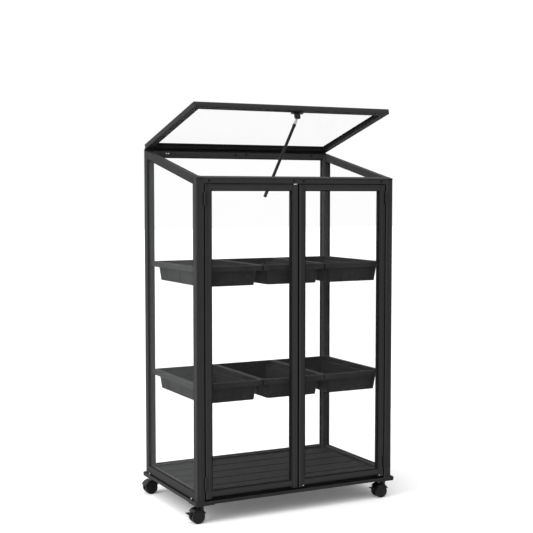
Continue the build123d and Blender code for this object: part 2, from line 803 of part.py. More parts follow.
# Planting trays: one moulding with a flanged rim, end skirts, a shoulder each side and a ribbed, tapered body
tray_width = (2 * (shelf_inner - tray_clearance) - (tray_count - 1) * tray_gap) / tray_count
mouth_width = tray_width - 2 * tray_rim_width
body_width = mouth_width - 2 * tray_shoulder
body_depth = 2 * (tray_reach - tray_end_rim)
foot_width = body_width - 2 * tray_taper
foot_depth = body_depth - 2 * tray_taper
inner_corner = tray_corner_radius - tray_wall
with BuildPart() as tray:
    with BuildSketch(Plane.XY.offset(-tray_skirt)):
        RectangleRounded(body_width, body_depth, tray_corner_radius)
    with BuildSketch(Plane.XY.offset(-tray_height)):
        RectangleRounded(foot_width, foot_depth, tray_corner_radius)
    loft(ruled=True)
    with BuildSketch():
        RectangleRounded(mouth_width, body_depth, tray_corner_radius)
    extrude(amount=-tray_skirt)
    with BuildSketch():
        Rectangle(tray_width, 2 * tray_reach)
    extrude(amount=-tray_wall)
    for end in (-1, 1):
        with BuildSketch():
            rect_between(-tray_width / 2, tray_width / 2, end * tray_reach, end * (tray_reach - tray_wall))
        extrude(amount=-tray_skirt)
    rib_pitch = (foot_width - 2 * tray_corner_radius) / tray_front_ribs
    foot = foot_depth / 2 + tray_rib_height
    top = tray_inner_reach - shelf_bar_width - tray_clearance
    for number in range(tray_front_ribs):
        rib_x = (number - (tray_front_ribs - 1) / 2) * rib_pitch
        with BuildSketch(Plane.YZ.offset(rib_x)):
            outline((-top, -tray_skirt), (top, -tray_skirt), (foot, -tray_height), (-foot, -tray_height))
        extrude(amount=tray_rib_width / 2, both=True)
    rib_pitch = (foot_depth - 2 * tray_corner_radius) / tray_side_ribs
    foot = foot_width / 2 + tray_rib_height
    top = foot + tray_taper
    for number in range(tray_side_ribs):
        rib_y = (number - (tray_side_ribs - 1) / 2) * rib_pitch
        with BuildSketch(Plane.XZ.offset(-rib_y)):
            outline((-top, -tray_skirt), (top, -tray_skirt), (foot, -tray_height), (-foot, -tray_height))
        extrude(amount=tray_rib_width / 2, both=True)
    with BuildSketch():
        RectangleRounded(mouth_width - 2 * tray_wall, body_depth - 2 * tray_wall, inner_corner)
    extrude(amount=tray_wall - tray_skirt, mode=Mode.SUBTRACT)
    with BuildSketch(Plane.XY.offset(tray_wall - tray_skirt)):
        RectangleRounded(body_width - 2 * tray_wall, body_depth - 2 * tray_wall, inner_corner)
    with BuildSketch(Plane.XY.offset(tray_wall - tray_height)):
        RectangleRounded(foot_width - 2 * tray_wall, foot_depth - 2 * tray_wall, inner_corner)
    loft(ruled=True, mode=Mode.SUBTRACT)
    with BuildSketch(Plane.XY.offset(tray_wall - tray_height)):
        with GridLocations((foot_width - 2 * tray_taper) / tray_floor_ribs, 0, tray_floor_ribs, 1):
            Rectangle(tray_rib_width, foot_depth - 2 * tray_corner_radius)
    extrude(amount=tray_rib_height)

tray_pitch = tray_width + tray_gap
for level, height in (("upper", upper_shelf_height), ("lower", lower_shelf_height)):
    for number, place in enumerate(("left", "middle", "right")):
        with BuildPart() as placed_tray:
            with Locations(((number - (tray_count - 1) / 2) * tray_pitch, 0, height)):
                add(tray.part)
        save(placed_tray.part, f"{level}_{place}_tray")

# Twin-wheel castor: hooded housing on the stem, two dished wheels on an axle, brake pedal
axle_z = wheel_radius - castor_height
wheel_centre = (-castor_trail, 0, axle_z)
fender_inner = wheel_radius + fender_gap
fender_radius = fender_inner + fender_thickness
wheel_inner_face = wheel_spacing / 2
wheel_outer_face = wheel_inner_face + wheel_width
web_half = wheel_inner_face - web_clearance
fender_half = wheel_outer_face + fender_side
pedal_reach = fender_inner + fender_thickness / 2
pedal_x = -castor_trail + pedal_reach * cos(radians(pedal_angle))
pedal_z = axle_z + pedal_reach * sin(radians(pedal_angle))
hood_end_x = pedal_x + pedal_barrel_radius + 2 * pedal_ear
flange_low = -swivel_gap - swivel_flange_thickness
collar_low = -neck_collar_drop - neck_collar_height


def castor_housing(braked):
    """Housing with its axle: a flanged neck for the stem, a web between the wheels and a hood over them"""
    with BuildPart() as housing:
        with BuildSketch(Plane.XZ):
            outline(
                (0, -swivel_gap),
                (swivel_flange_radius, -swivel_gap),
                (swivel_flange_radius, flange_low),
                (neck_radius, flange_low),
                (neck_radius, -neck_collar_drop),
                (neck_collar_radius, -neck_collar_drop),
                (neck_collar_radius, collar_low),
                (neck_radius, collar_low),
                (neck_radius, -neck_length),
                (0, -neck_length),
            )
        revolve(axis=Axis.Z)
        with BuildSketch(Plane.XZ):
            with Locations((-castor_trail, axle_z)):
                Circle(fender_radius)
            rect_between(
                -castor_trail - 2 * fender_radius,
                -castor_trail + 2 * fender_radius,
                axle_z - 2 * fender_radius,
                axle_z - axle_radius,
                Mode.SUBTRACT,
            )
            with Locations((-castor_trail, axle_z)):
                Circle(wheel_hub_radius)
            rect_between(-castor_trail, neck_radius, axle_z, -neck_length)
            if braked:
                with Locations((pedal_x, pedal_z)):
                    Circle(pedal_barrel_radius + pedal_ear)
        extrude(amount=web_half, both=True)
        with BuildSketch(Plane.XZ):
            with Locations((-castor_trail, axle_z)):
                Circle(fender_radius)
                Circle(fender_inner, mode=Mode.SUBTRACT)
            rect_between(
                -castor_trail - 2 * fender_radius,
                -castor_trail + 2 * fender_radius,
                axle_z - 2 * fender_radius,
                axle_z + fender_radius / 3,
                Mode.SUBTRACT,
            )
            if braked:
                rect_between(
                    -castor_trail - 2 * fender_radius,
                    hood_end_x,
                    axle_z - fender_radius,
                    axle_z + fender_radius,
                    Mode.SUBTRACT,
                )
        extrude(amount=fender_half, both=True)
        with BuildSketch(Plane.XZ):
            with Locations((-castor_trail, axle_z)):
                Circle(axle_radius + pin_clearance)
            if braked:
                with Locations((pedal_x, pedal_z)):
                    Circle(pedal_pin_radius + pin_clearance)
        extrude(amount=web_half, both=True, mode=Mode.SUBTRACT)
        with BuildSketch(Plane.XY):
            Circle(stem_radius + stem_clearance)
        extrude(amount=-stem_length - swivel_gap, mode=Mode.SUBTRACT)
        with BuildSketch(Plane.XZ):
            with Locations((-castor_trail, axle_z)):
                Circle(axle_radius)
        extrude(amount=axle_length / 2, both=True)
    return housing


def castor_wheel(facing):
    """Dished wheel with a closed hub, facing is -1 for the wheel at the front"""
    rim_inner = wheel_radius - wheel_rim_width
    hub_floor = axle_length / 2 + swivel_gap
    bore = axle_radius + stem_clearance
    dish = wheel_outer_face - wheel_dish
    with BuildPart() as wheel:
        with BuildSketch(Plane(wheel_centre)):
            outline(
                (bore, facing * wheel_inner_face),
                (wheel_radius - wheel_edge, facing * wheel_inner_face),
                (wheel_radius, facing * (wheel_inner_face + wheel_edge)),
                (wheel_radius, facing * (wheel_outer_face - wheel_edge)),
                (wheel_radius - wheel_edge, facing * wheel_outer_face),
                (rim_inner, facing * wheel_outer_face),
                (rim_inner - wheel_dish, facing * dish),
                (wheel_hub_radius + wheel_dish, facing * dish),
                (wheel_hub_radius, facing * wheel_outer_face),
                (0, facing * wheel_outer_face),
                (0, facing * hub_floor),
                (bore, facing * hub_floor),
            )
        revolve(axis=Axis(wheel_centre, (0, 1, 0)))
    return wheel


with BuildPart() as brake_pedal:
    tab_start = pedal_x - pedal_barrel_radius - 2 * pedal_ear
    arm_half = web_half + web_clearance
    with BuildSketch(Plane.XZ):
        with Locations((pedal_x, pedal_z)):
            Circle(pedal_barrel_radius)
        rect_between(tab_start, pedal_x, pedal_z, pedal_z + pedal_thickness)
    extrude(amount=pedal_width / 2, both=True)
    with BuildSketch(Plane.XZ):
        rect_between(
            tab_start, pedal_x + pedal_width, pedal_z - pedal_width, pedal_z + pedal_width
        )
    extrude(amount=arm_half, both=True, mode=Mode.SUBTRACT)
    with BuildSketch(Plane.XZ):
        rect_between(pedal_x - pedal_length, tab_start, pedal_z, pedal_z + pedal_thickness)
    extrude(amount=pedal_width / 2, both=True)
    fillet(brake_pedal.edges().filter_by(Axis.Z).sort_by(Axis.X)[:2], pedal_thickness)
    with BuildSketch(Plane.XZ):
        with Locations((pedal_x, pedal_z)):
            Circle(pedal_pin_radius)
    extrude(amount=pedal_width / 2, both=True)

front_wheel = castor_wheel(-1)
back_wheel = castor_wheel(1)
front_castor = {
    "housing": castor_housing(True),
    "front_wheel": front_wheel,
    "back_wheel": back_wheel,
    "brake_pedal": brake_pedal,
}
rear_castor = {"housing": castor_housing(False), "front_wheel": front_wheel, "back_wheel": back_wheel}
for (side, end), corner in post_names.items():
    for piece, master in (front_castor if end < 0 else rear_castor).items():
        with BuildPart() as placed:
            with Locations((side * castor_x, end * castor_y, castor_height)):
                add(master.part)
        save(placed.part, f"{corner}_castor_{piece}")
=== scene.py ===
import json
import math

import bmesh
import bpy
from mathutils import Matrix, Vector

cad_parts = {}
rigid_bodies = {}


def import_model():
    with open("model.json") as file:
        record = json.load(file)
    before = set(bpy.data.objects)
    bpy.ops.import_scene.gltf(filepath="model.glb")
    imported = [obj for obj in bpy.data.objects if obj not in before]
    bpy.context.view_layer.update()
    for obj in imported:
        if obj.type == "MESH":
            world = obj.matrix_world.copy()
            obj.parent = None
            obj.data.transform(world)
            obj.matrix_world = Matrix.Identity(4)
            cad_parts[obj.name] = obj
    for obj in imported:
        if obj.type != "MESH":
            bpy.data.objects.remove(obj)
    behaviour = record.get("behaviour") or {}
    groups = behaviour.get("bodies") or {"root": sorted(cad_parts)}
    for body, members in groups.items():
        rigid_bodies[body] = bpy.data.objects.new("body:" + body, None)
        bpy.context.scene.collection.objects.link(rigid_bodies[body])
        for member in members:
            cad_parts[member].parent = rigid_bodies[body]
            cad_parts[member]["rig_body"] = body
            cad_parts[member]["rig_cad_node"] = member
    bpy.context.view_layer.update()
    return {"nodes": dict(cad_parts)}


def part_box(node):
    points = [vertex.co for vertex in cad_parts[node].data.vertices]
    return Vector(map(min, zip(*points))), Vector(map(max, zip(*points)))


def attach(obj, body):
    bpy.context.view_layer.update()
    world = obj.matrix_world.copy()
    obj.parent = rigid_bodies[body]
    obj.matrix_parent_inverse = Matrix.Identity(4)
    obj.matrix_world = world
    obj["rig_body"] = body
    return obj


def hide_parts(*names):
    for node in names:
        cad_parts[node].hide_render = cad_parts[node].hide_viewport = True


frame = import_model()
nodes = frame["nodes"]
POSTS = ("front_left_post", "front_right_post", "rear_left_post", "rear_right_post")
CORNERS = ("front_left", "front_right", "rear_left", "rear_right")
DOORS = ("left_door", "right_door")
LEVELS = ("upper", "lower")
PANES = ("left_pane", "right_pane", "rear_pane", "lid_pane", "left_door_pane", "right_door_pane")


# Finishes

def grey(level):
    """Plain grey"""
    return (level, level, level)


def cool(level):
    """Grey with a trace of blue"""
    return (level, level, level + 0.001)


def start_finish(name):
    """New node material: returns the material, its tree and its shader"""
    finish = bpy.data.materials.new(name)
    finish.use_nodes = True
    tree = finish.node_tree
    return finish, tree, tree.nodes["Principled BSDF"]


def noise(tree, scale, stretch=(1, 1, 1), detail=3.0):
    """Noise on the piece's own coordinates, stretched along its axes"""
    place = tree.nodes.new("ShaderNodeTexCoord")
    turn = tree.nodes.new("ShaderNodeMapping")
    turn.inputs["Scale"].default_value = stretch
    made = tree.nodes.new("ShaderNodeTexNoise")
    made.inputs["Scale"].default_value = scale
    made.inputs["Detail"].default_value = detail
    tree.links.new(place.outputs["Object"], turn.inputs["Vector"])
    tree.links.new(turn.outputs["Vector"], made.inputs["Vector"])
    return made.outputs[0]


def colour_range(tree, source, low, high, start=0.35, end=0.65):
    """Colours between two tones, driven by a pattern"""
    ramp = tree.nodes.new("ShaderNodeValToRGB")
    ramp.color_ramp.elements[0].position = start
    ramp.color_ramp.elements[1].position = end
    ramp.color_ramp.elements[0].color = (*low, 1)
    ramp.color_ramp.elements[1].color = (*high, 1)
    tree.links.new(source, ramp.inputs["Fac"])
    return ramp.outputs["Color"]


def value_range(tree, source, low, high, start=0.0, end=1.0):
    """Numbers between two values, while a pattern goes from start to end"""
    span = tree.nodes.new("ShaderNodeMapRange")
    span.inputs["From Min"].default_value = start
    span.inputs["From Max"].default_value = end
    span.inputs["To Min"].default_value = low
    span.inputs["To Max"].default_value = high
    tree.links.new(source, span.inputs["Value"])
    return span.outputs["Result"]


def relief(tree, shader, source, strength, distance):
    """Bump from a pattern"""
    bump = tree.nodes.new("ShaderNodeBump")
    bump.inputs["Strength"].default_value = strength
    bump.inputs["Distance"].default_value = distance
    tree.links.new(source, bump.inputs["Height"])
    tree.links.new(bump.outputs["Normal"], shader.inputs["Normal"])


def surface(tree, shader, source, low, high, smooth, rough):
    """Colour and roughness that vary together with a pattern"""
    tree.links.new(colour_range(tree, source, low, high), shader.inputs["Base Color"])
    tree.links.new(value_range(tree, source, smooth, rough), shader.inputs["Roughness"])


def powder_coat(name, low, high, rough, gloss, scale=9.0, stretch=(1, 1, 1)):
    """Satin powder coat with fine orange peel, mottled or with faint lines along an extrusion"""
    finish, tree, shader = start_finish(name)
    surface(tree, shader, noise(tree, scale, stretch), low, high, rough - 0.05, rough + 0.07)
    shader.inputs["Specular IOR Level"].default_value = gloss
    peel = noise(tree, scale=900.0, detail=2.0)
    relief(tree, shader, peel, strength=0.25, distance=0.0004)
    return finish


def moulded_plastic(name, low, high, rough, gloss, grain):
    """Black moulded plastic with a spark-eroded grain"""
    finish, tree, shader = start_finish(name)
    surface(tree, shader, noise(tree, scale=14.0), low, high, rough - 0.06, rough + 0.06)
    shader.inputs["Specular IOR Level"].default_value = gloss
    pits = noise(tree, scale=grain, detail=2.0)
    relief(tree, shader, pits, strength=0.15, distance=0.0002)
    return finish


def clear_pane(name):
    """Clear glazing with faint wiping marks in its roughness, and a pale veil, stronger where it is seen at
    a slant, that is a painted reflection of the white surroundings
    """
    finish, tree, shader = start_finish(name)
    # Pale colour of the painted reflection veil
    shader.inputs["Base Color"].default_value = (0.86, 0.89, 0.89, 1)
    shader.inputs["Specular IOR Level"].default_value = 0.5
    wipe = noise(tree, scale=5.0, stretch=(1, 1, 0.25))
    tree.links.new(value_range(tree, wipe, 0.02, 0.06), shader.inputs["Roughness"])
    slant = tree.nodes.new("ShaderNodeLayerWeight")
    slant.inputs["Blend"].default_value = 0.3
    # Painted reflection: the pane shows more of its pale colour where it is seen at a slant
    slant_reflection_veil = value_range(tree, slant.outputs["Facing"], 0.003, 0.054)
    tree.links.new(slant_reflection_veil, shader.inputs["Alpha"])
    return finish


def plated_steel(name, low, high, rough):
    """Zinc-plated steel with fine drawn lines"""
    finish, tree, shader = start_finish(name)
    lines = noise(tree, scale=120.0, stretch=(1, 1, 14))
    surface(tree, shader, lines, low, high, rough - 0.06, rough + 0.08)
    shader.inputs["Metallic"].default_value = 1.0
    relief(tree, shader, lines, strength=0.1, distance=0.0002)
    return finish


def arithmetic(tree, operation, first, second):
    """Math node on an output, with another output or a number"""
    step = tree.nodes.new("ShaderNodeMath")
    step.operation = operation
    tree.links.new(first, step.inputs[0])
    if isinstance(second, float):
        step.inputs[1].default_value = second
    else:
        tree.links.new(second, step.inputs[1])
    return step.outputs[0]


# Distances from each slat joint over which the painted shade fades out
SLAT_JOINT_SHADE_START, SLAT_JOINT_SHADE_END = 0.0035, 0.0065


def slat_grain(name, low, high, first, pitch):
    """Dark composite slats with grain along their length, and painted shade that darkens them towards each
    joint between them
    """
    finish, tree, shader = start_finish(name)
    grain = noise(tree, scale=60.0, stretch=(0.06, 1.6, 1.6), detail=6.0)
    place = tree.nodes.new("ShaderNodeTexCoord")
    split = tree.nodes.new("ShaderNodeSeparateXYZ")
    tree.links.new(place.outputs["Object"], split.inputs["Vector"])
    shifted = arithmetic(tree, "SUBTRACT", split.outputs["Y"], first)
    across = arithmetic(tree, "PINGPONG", shifted, pitch / 2)
    # Painted shade: near black at each joint, fading to the slat's own colour a few millimetres away
    joint_unshaded = value_range(tree, across, 0.12, 1.0, SLAT_JOINT_SHADE_START, SLAT_JOINT_SHADE_END)
    joint_shaded = tree.nodes.new("ShaderNodeMix")
    joint_shaded.data_type = "RGBA"
    joint_shaded.inputs["A"].default_value = (*grey(0.002), 1)
    tree.links.new(joint_unshaded, joint_shaded.inputs["Factor"])
    tree.links.new(colour_range(tree, grain, low, high, 0.3, 0.7), joint_shaded.inputs["B"])
    tree.links.new(joint_shaded.outputs["Result"], shader.inputs["Base Color"])
    tree.links.new(value_range(tree, grain, 0.6, 0.78), shader.inputs["Roughness"])
    shader.inputs["Specular IOR Level"].default_value = 0.06
    relief(tree, shader, grain, strength=0.35, distance=0.0006)
    return finish


# Extrusions have die lines: noise that is drawn out along their length
DIE_LINES = {"rough": 0.66, "gloss": 0.08, "scale": 80.0}
ALONG = 0.004
upright_coat = powder_coat("upright_coat", cool(0.038), cool(0.063), stretch=(1, 1, ALONG), **DIE_LINES)
cross_coat = powder_coat("cross_coat", cool(0.033), cool(0.056), stretch=(ALONG, 1, 1), **DIE_LINES)
slope_coat = powder_coat("slope_coat", cool(0.033), cool(0.056), stretch=(1, ALONG, ALONG), **DIE_LINES)
base_coat = powder_coat("base_coat", cool(0.03), cool(0.041), rough=0.62, gloss=0.1)
hinge_coat = powder_coat("hinge_coat", cool(0.03), cool(0.04), rough=0.55, gloss=0.12)
glazing = clear_pane("clear_glazing")
tray_black = moulded_plastic("tray_plastic", cool(0.024), cool(0.032), rough=0.62, gloss=0.08, grain=700.0)
trim_black = moulded_plastic("trim_plastic", cool(0.02), cool(0.028), rough=0.6, gloss=0.1, grain=900.0)
sleeve_black = moulded_plastic(
    "sleeve_plastic", grey(0.005), grey(0.009), rough=0.45, gloss=0.15, grain=900.0
)
castor_black = moulded_plastic("castor_nylon", grey(0.006), grey(0.01), rough=0.36, gloss=0.2, grain=1100.0)
wheel_black = moulded_plastic("wheel_nylon", grey(0.009), grey(0.013), rough=0.42, gloss=0.15, grain=1100.0)
# Black rubber for the pane seals, also used for the linings that paint the shade on the inner faces of the
# door and lid frames
seal_and_shade_black = moulded_plastic("seal_rubber_and_shade", grey(0.005), grey(0.008), rough=0.7, gloss=0.08, grain=1200.0)
# Near-black finish for pieces that paint the shade in gaps, crevices and joints
gap_shade_black = moulded_plastic("gap_shade_paint", grey(0.002), grey(0.004), rough=0.85, gloss=0.0, grain=1200.0)
screw_black = powder_coat("screw_black", grey(0.008), grey(0.012), rough=0.5, gloss=0.15)
zinc = plated_steel("zinc_plate", grey(0.5), grey(0.66), rough=0.34)
pin_steel = plated_steel("pin_steel", grey(0.016), grey(0.028), rough=0.5)
rod_steel = plated_steel("rod_steel", grey(0.13), grey(0.2), rough=0.36)
ferrule_steel = plated_steel("ferrule_steel", grey(0.3), grey(0.42), rough=0.34)
foot_grey = moulded_plastic("foot_plastic", cool(0.08), cool(0.1), rough=0.6, gloss=0.1, grain=900.0)
slats_low, slats_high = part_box("floor_boards")
SLATS = 5
SLAT_GAP = 0.003
slat_pitch = (slats_high.y - slats_low.y + SLAT_GAP) / SLATS
joint_start = slats_low.y - SLAT_GAP / 2
slat = slat_grain("floor_slat", cool(0.015), cool(0.03), joint_start, slat_pitch)


# Working steps shared by the pieces

def clear_selection():
    """Leaves edit mode with nothing selected"""
    if bpy.context.object and bpy.context.object.mode != "OBJECT":
        bpy.ops.object.mode_set(mode="OBJECT")
    bpy.ops.object.select_all(action="DESELECT")


def pick(piece):
    """Makes one object the only selected and active one"""
    clear_selection()
    piece.select_set(True)
    bpy.context.view_layer.objects.active = piece


def finish_modifier(piece, kind, **settings):
    """Adds a modifier with its settings and applies it"""
    pick(piece)
    bpy.ops.object.modifier_add(type=kind)
    step = piece.modifiers[-1]
    for name, value in settings.items():
        setattr(step, name, value)
    bpy.ops.object.modifier_apply(modifier=step.name)


BEVEL_ANGLE = math.radians(35)
SMOOTH_ANGLE = math.radians(45)


def soften(piece, width, segments=2):
    """Rounds the sharp edges of a piece and evens its shading"""
    finish_modifier(
        piece, "BEVEL", width=width, segments=segments, limit_method="ANGLE", angle_limit=BEVEL_ANGLE
    )
    pick(piece)
    bpy.ops.object.shade_smooth_by_angle(angle=SMOOTH_ANGLE)
    finish_modifier(piece, "WEIGHTED_NORMAL", keep_sharp=True)


def dress(piece, name, body, finish):
    """Names a finished piece, gives it its finish and lets it move with its body"""
    piece.name = name
    piece.data.name = name
    piece.data.materials.clear()
    piece.data.materials.append(finish)
    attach(piece, body)


MERGE_DISTANCE = 0.000005
FLAT_ANGLE = math.radians(1.0)


def cad_copy(node):
    """Loose copy of a CAD piece with its faces joined up again"""
    pick(nodes[node])
    bpy.ops.object.duplicate()
    piece = bpy.context.object
    del piece["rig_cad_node"]
    bpy.ops.object.parent_clear(type="CLEAR_KEEP_TRANSFORM")
    bpy.ops.object.mode_set(mode="EDIT")
    bpy.ops.mesh.select_all(action="SELECT")
    bpy.ops.mesh.remove_doubles(threshold=MERGE_DISTANCE)
    bpy.ops.mesh.dissolve_limited(angle_limit=FLAT_ANGLE)
    bpy.ops.object.mode_set(mode="OBJECT")
    return piece


def eased_copy(node, width, finish, segments=2):
    """Copy of a CAD piece with its edges rounded, which is shown in its place"""
    piece = cad_copy(node)
    soften(piece, width, segments)
    dress(piece, node + "_eased", nodes[node]["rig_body"], finish)
    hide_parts(node)


def select_faces(piece, wanted):
    """In edit mode, selects the faces that pass a test and no others"""
    bpy.ops.mesh.select_mode(type="FACE")
    bpy.ops.mesh.select_all(action="DESELECT")
    mesh = bmesh.from_edit_mesh(piece.data)
    for face in mesh.faces:
        face.select_set(wanted(face))
    bmesh.update_edit_mesh(piece.data)


def extrude(step):
    """In edit mode, extrudes the selected faces by a step"""
    bpy.ops.mesh.extrude_region_move(TRANSFORM_OT_translate={"value": step})


def joined(pieces):
    """One object of several, with their places applied"""
    clear_selection()
    for piece in pieces:
        piece.select_set(True)
    bpy.context.view_layer.objects.active = pieces[0]
    bpy.ops.object.transform_apply()
    bpy.ops.object.join()
    return bpy.context.object


def place_copies(master, name, body, spots, finish):
    """Copies of a small piece at (place, facing) spots, joined into one piece of a body"""
    copies = []
    for place, facing in spots:
        pick(master)
        bpy.ops.object.duplicate()
        copy = bpy.context.object
        copy.location = place
        copy.rotation_euler = Vector(facing).to_track_quat("Z", "Y").to_euler()
        copies.append(copy)
    dress(joined(copies), name, body, finish)


def place_last(master, name, body, spots, finish):
    """Copies of a small piece as above, after which the small piece itself goes"""
    place_copies(master, name, body, spots, finish)
    bpy.data.objects.remove(master)


def sized_block(size, place=(0, 0, 0)):
    """Block of a size, its middle at a place"""
    clear_selection()
    bpy.ops.mesh.primitive_cube_add(size=1, location=place)
    bpy.ops.transform.resize(value=size)
    bpy.ops.object.transform_apply()
    return bpy.context.object


def rounded_block(size, edge, place=(0, 0, 0)):
    """Block of a size with rounded edges, its middle at a place"""
    block = sized_block(size, place)
    soften(block, edge, 3)
    return block


def standing_cylinder(radius, height, sides):
    """Cylinder that stands on the origin along Z"""
    clear_selection()
    bpy.ops.mesh.primitive_cylinder_add(
        vertices=sides, radius=radius, depth=height, location=(0, 0, height / 2)
    )
    bpy.ops.object.transform_apply()
    return bpy.context.object


# Frame, doors, lid and base: the CAD shapes with rounded edges, each with its rounding, finish and slot
EASED = (
    (POSTS, 0.0006, upright_coat, "frame_metal"),
    (("front_header", "rear_top_rail", "rear_bottom_rail"), 0.0006, cross_coat, "frame_metal"),
    (("roof_side_rails", "bottom_side_rails"), 0.0006, slope_coat, "frame_metal"),
    (("lid_front_rail", "lid_rear_rail"), 0.0008, cross_coat, "frame_metal"),
    (("lid_side_rails",), 0.0008, slope_coat, "frame_metal"),
    ([door + "_stiles" for door in DOORS], 0.0006, upright_coat, "frame_metal"),
    ([door + "_rails" for door in DOORS], 0.0006, cross_coat, "frame_metal"),
    ([door + "_hinge_leaves" for door in DOORS], 0.0002, hinge_coat, "hinge_metal"),
    (("door_hinge_post_leaves",), 0.0002, hinge_coat, "hinge_metal"),
    (("lid_hinge_frame_leaves", "lid_hinge_lid_leaves"), 0.0002, hinge_coat, "hinge_metal"),
    (("castor_plates", "base_angles", "floor_bearers"), 0.0005, base_coat, "base_metal"),
    (("upper_shelf_frame", "lower_shelf_frame"), 0.0005, base_coat, "base_metal"),
    (("stay_bracket",), 0.0005, castor_black, "base_metal"),
    (("post_caps", "door_catches"), 0.0006, trim_black, "trim_plastic"),
    (("floor_boards",), 0.0008, slat, "floor_board"),
    (("stay_keeper",), 0.0004, zinc, "bright_steel"),
    (("stay_rod",), 0.0003, rod_steel, "bright_steel"),
    (("stay_tube",), 0.0004, sleeve_black, "stay_sleeve"),
    (("hinge_pins",), 0.0003, pin_steel, "bright_steel"),
    ([f"{level}_{place}_tray" for level in LEVELS for place in ("left", "middle", "right")],
     0.0009, tray_black, "tray_plastic"),
    ([corner + "_castor_housing" for corner in CORNERS], 0.0006, castor_black, "castor_plastic"),
    ([corner + "_castor_brake_pedal" for corner in CORNERS[:2]], 0.0004, castor_black, "castor_plastic"),
)
WHEEL_EDGE = 0.0008
for eased_nodes, rounding, finish, slot in EASED:
    for node in eased_nodes:
        eased_copy(node, rounding, finish)
for corner in CORNERS:
    for wheel in ("front_wheel", "back_wheel"):
        eased_copy(f"{corner}_castor_{wheel}", WHEEL_EDGE, wheel_black, 3)
for node in PANES:
    nodes[node].material_slots[0].material = glazing


# Pane seals: rubber strips where the clear faces meet their frames
pane_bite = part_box("rear_pane")[1].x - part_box("rear_top_rail")[1].x
SEAL_WIDTH = 0.0026
SEAL_PROUD = 0.0012
SEAL_EDGE = 0.0004


def pane_seal(node):
    """Rubber strip round the seen edge of a pane, on both of its faces"""
    piece = cad_copy(node)
    bpy.ops.object.mode_set(mode="EDIT")
    largest = max(face.calc_area() for face in bmesh.from_edit_mesh(piece.data).faces)
    select_faces(piece, lambda face: face.calc_area() > 0.9 * largest)
    bpy.ops.mesh.inset(thickness=pane_bite)
    bpy.ops.mesh.inset(thickness=SEAL_WIDTH)
    bpy.ops.mesh.delete(type="FACE")
    select_faces(piece, lambda face: not any(edge.is_boundary for edge in face.edges))
    bpy.ops.mesh.delete(type="FACE")
    bpy.ops.object.mode_set(mode="OBJECT")
    finish_modifier(piece, "SOLIDIFY", thickness=SEAL_PROUD, offset=1.0)
    soften(piece, SEAL_EDGE)
    dress(piece, node + "_seal", nodes[node]["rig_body"], seal_and_shade_black)


for node in PANES:
    pane_seal(node)


# Where things sit on the frame and on the tilted lid
LEFT, RIGHT, FRONT, BACK, UP = (-1, 0, 0), (1, 0, 0), (0, -1, 0), (0, 1, 0), (0, 0, 1)
LID_BARREL = 0.0045
LID_TILT = math.radians(15.5)
hinge_low, hinge_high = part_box("lid_hinge_frame_leaves")
hinge_y = hinge_high.y - LID_BARREL
hinge_z = hinge_high.z - LID_BARREL
lid_reach = (hinge_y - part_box("lid_front_rail")[0].y) / math.cos(LID_TILT)
under_lid = (0, -math.sin(LID_TILT), -math.cos(LID_TILT))


def on_lid(x, reach, drop=0.0):
    """Point below the lid, at a reach from its hinge"""
    y = hinge_y - reach * math.cos(LID_TILT) - drop * math.sin(LID_TILT)
    z = hinge_z + reach * math.sin(LID_TILT) - drop * math.cos(LID_TILT)
    return (x, y, z)


# Screws

def socket_screw(radius):
    """Domed screw head with a round socket, standing on the origin"""
    head = standing_cylinder(radius, radius * 0.5, 24)
    bpy.ops.object.mode_set(mode="EDIT")
    select_faces(head, lambda face: face.normal.z > 0.9)
    bpy.ops.mesh.inset(thickness=radius * 0.22)
    bpy.ops.transform.translate(value=(0, 0, radius * 0.2))
    bpy.ops.mesh.inset(thickness=radius * 0.36)
    extrude((0, 0, -radius * 0.35))
    bpy.ops.object.mode_set(mode="OBJECT")
    soften(head, radius * 0.06)
    return head


SMALL_SCREW, FRONT_SCREW, FOOT_SCREW = 0.0027, 0.0036, 0.0019
FLAT_SCREW = (1, 1, 0.25)
HEADER_SCREW_LEFT, HEADER_SCREW_RIGHT, HEADER_SCREW_RISE = -0.352, 0.35, 0.011
CATCH_SCREW_INSET = 0.013
POST_SCREW_FRONT, POST_SCREW_BACK, POST_SCREW_RISE = 0.006, 0.0125, 0.003
REAR_SCREWS = (-0.026, 0.021, 0.316)
REAR_ZINC_SCREWS = (-0.319, -0.3095)
REAR_SCREW_HEIGHT = 0.0145
HINGE_SCREW_PITCH, HINGE_SCREW_DEPTH, HINGE_SCREW_HEIGHT = 0.088, 0.0022, 0.007
SLAT_SCREWS = (-0.3, 0, 0.3)
LID_SCREW_X, LID_SCREW_REAR, LID_SCREW_FRONT = 0.384, 0.02, 0.013
BRACKET_SCREWS = (-0.004, 0.03)
BRACKET_SCREW_REACH, BRACKET_FLANGE = 0.0195, 0.002
FOOT_SCREW_INSET, FOOT_SCREW_HEIGHT = 0.0175, 0.0052

